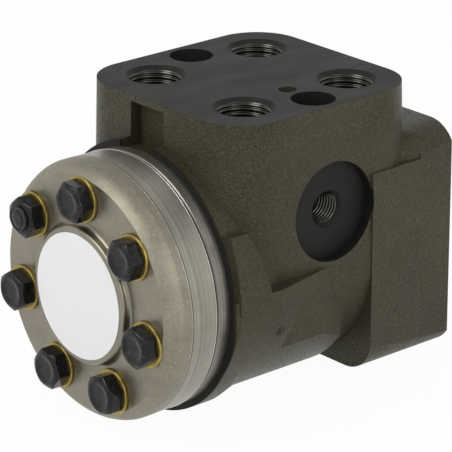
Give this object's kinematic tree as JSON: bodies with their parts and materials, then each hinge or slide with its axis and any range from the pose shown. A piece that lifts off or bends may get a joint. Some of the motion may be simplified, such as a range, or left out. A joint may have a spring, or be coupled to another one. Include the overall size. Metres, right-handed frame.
{
  "type": "orbital steering unit",
  "caption": "Hydraulic steering unit: cast valve housing with ports on top, rotary spool and sleeve, and a gerotor metering set under a round screwed end cover.",
  "frame": {"origin": "on the spool axis, in the face of the column flange", "axes": "+Y along the spool axis, out of the column flange; +Z out of the port face; +X towards the load sensing port"},
  "size_m": [0.0994, 0.1385, 0.109],
  "materials": {
    "cast_iron": "rough phosphated casting with machined dark faces",
    "bare_steel": "turned and ground bare steel",
    "valve_steel": "ground hardened steel",
    "black_oxide": "black oxide finish, satin",
    "yellow_washer": "yellow passivated thin washer",
    "ball_steel": "polished bearing steel",
    "spring_steel": "blued spring steel",
    "seal_rubber": "matt nitrile rubber",
    "label_white": "plain white printed film, bare"
  },
  "bodies": {
    "housing": {"housing": "cast_iron", "end_cover": "bare_steel", "distribution_plate": "bare_steel", "gear_ring": "bare_steel", "bearing_outer_race": "valve_steel", "shock_springs": "spring_steel", "shaft_seal": "seal_rubber", "dust_seal": "seal_rubber", "plate_seal": "seal_rubber", "ring_seal": "seal_rubber", "cover_seal": "seal_rubber", "cover_screws": "black_oxide", "check_screw": "black_oxide", "cover_washers": "yellow_washer", "thread_bushing": "valve_steel", "suction_pins": "valve_steel", "shock_seats": "valve_steel", "shock_plugs": "black_oxide", "rating_label": "label_white"},
    "sleeve": {"sleeve": "valve_steel", "spring_ring": "valve_steel", "cross_pin": "valve_steel", "centring_springs": "spring_steel", "bearing_inner_race": "valve_steel"},
    "spool": {"spool": "valve_steel"},
    "roller_cage": {"bearing_cage": "valve_steel", "bearing_rollers": "ball_steel"},
    "orbit": {"spacer": "valve_steel"},
    "gear_wheel": {"gear_wheel": "valve_steel"},
    "cardan_shaft": {"cardan_shaft": "valve_steel"},
    "check_ball": {"check_ball": "ball_steel"},
    "suction_ball_left": {"suction_ball_left": "ball_steel"},
    "suction_ball_right": {"suction_ball_right": "ball_steel"},
    "shock_ball_left": {"shock_ball_left": "ball_steel"},
    "shock_ball_right": {"shock_ball_right": "ball_steel"}
  },
  "joints": [
    {"name": "sleeve_spin", "type": "hinge", "parent": "housing", "child": "sleeve", "pos_m": [0, -0.06, 0], "axis": [0, 1, 0], "continuous": true},
    {"name": "spool_twist", "type": "hinge", "parent": "sleeve", "child": "spool", "pos_m": [0, -0.06, 0], "axis": [0, 1, 0], "range_deg": [-8, 8], "stiffness_Nm_per_rad": 6, "deforming": ["centring_springs"]},
    {"name": "roller_cage_spin", "type": "hinge", "parent": "housing", "child": "roller_cage", "pos_m": [0, -0.017, 0], "axis": [0, 1, 0], "continuous": true},
    {"name": "wheel_orbit", "type": "hinge", "parent": "housing", "child": "orbit", "pos_m": [0, -0.116, 0], "axis": [0, 1, 0], "continuous": true},
    {"name": "gear_wheel_spin", "type": "hinge", "parent": "orbit", "child": "gear_wheel", "pos_m": [0, -0.116, -0.0032], "axis": [0, 1, 0], "continuous": true},
    {"name": "cardan_spin", "type": "hinge", "parent": "orbit", "child": "cardan_shaft", "pos_m": [0, -0.048, 0], "axis": [0, 0.9989, 0.0474], "continuous": true},
    {"name": "check_ball_lift", "type": "slide", "parent": "housing", "child": "check_ball", "axis": [0, -1, 0], "range_m": [0, 0.0014]},
    {"name": "suction_ball_left_lift", "type": "slide", "parent": "housing", "child": "suction_ball_left", "axis": [0, -1, 0], "range_m": [0, 0.0015]},
    {"name": "suction_ball_right_lift", "type": "slide", "parent": "housing", "child": "suction_ball_right", "axis": [0, -1, 0], "range_m": [0, 0.0015]},
    {"name": "shock_ball_left_lift", "type": "slide", "parent": "housing", "child": "shock_ball_left", "axis": [0, 0, 1], "range_m": [0, 0.001], "stiffness_N_per_m": 8000, "deforming": ["shock_springs"]},
    {"name": "shock_ball_right_lift", "type": "slide", "parent": "housing", "child": "shock_ball_right", "axis": [0, 0, 1], "range_m": [0, 0.001], "stiffness_N_per_m": 8000, "deforming": ["shock_springs"]}
  ],
  "couplings": [
    {"joint": "roller_cage_spin", "follows": "sleeve_spin", "ratio": 0.5},
    {"joint": "wheel_orbit", "follows": "sleeve_spin", "ratio": -6},
    {"joint": "gear_wheel_spin", "follows": "sleeve_spin", "ratio": 7},
    {"joint": "cardan_spin", "follows": "sleeve_spin", "ratio": 7}
  ]
}
